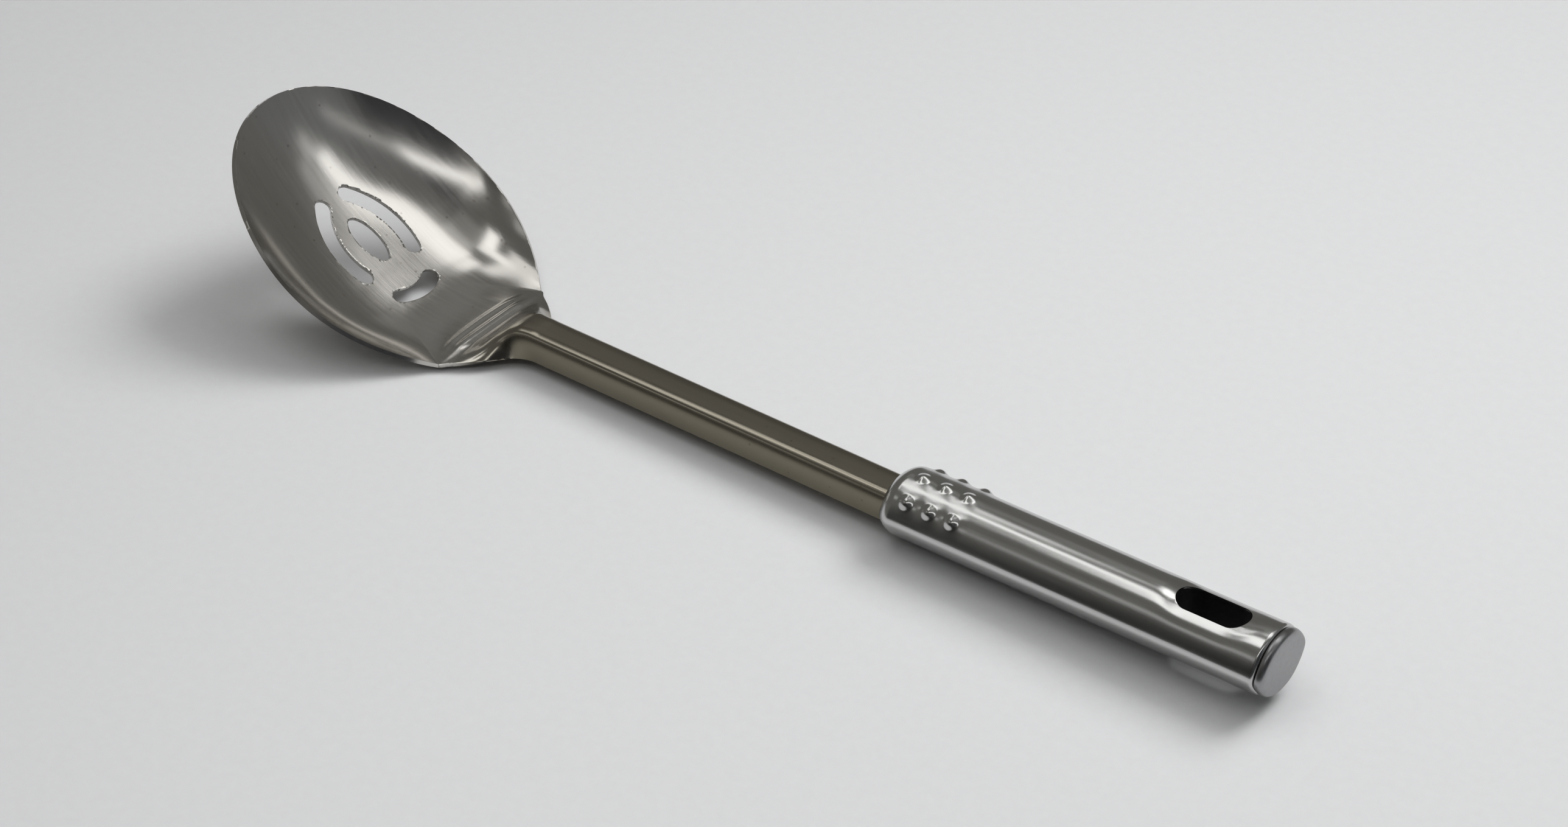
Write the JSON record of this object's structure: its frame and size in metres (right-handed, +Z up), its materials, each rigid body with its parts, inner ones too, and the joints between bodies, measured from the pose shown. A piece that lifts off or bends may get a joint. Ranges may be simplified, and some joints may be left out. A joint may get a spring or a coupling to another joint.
{
  "type": "slotted spoon",
  "caption": "Slotted kitchen serving spoon: stamped steel bowl with curved drain slots on a channel shank, in an oval steel grip with raised studs and a hang slot.",
  "frame": {"origin": "middle of the spoon's footprint, on the surface that it lies on", "axes": "+X along the grip towards the hanging end, +Y to the left of the centre plane, +Z up from the bowl's hollow side"},
  "size_m": [0.354, 0.0852, 0.0489],
  "materials": {
    "blank_steel": "polished satin",
    "grip_steel": "satin",
    "core_plastic": "matte black",
    "cap_steel": "satin"
  },
  "bodies": {
    "root": {"spoon_blank": "blank_steel", "handle_tube": "grip_steel", "handle_core": "core_plastic", "end_cap": "cap_steel"}
  },
  "joints": []
}
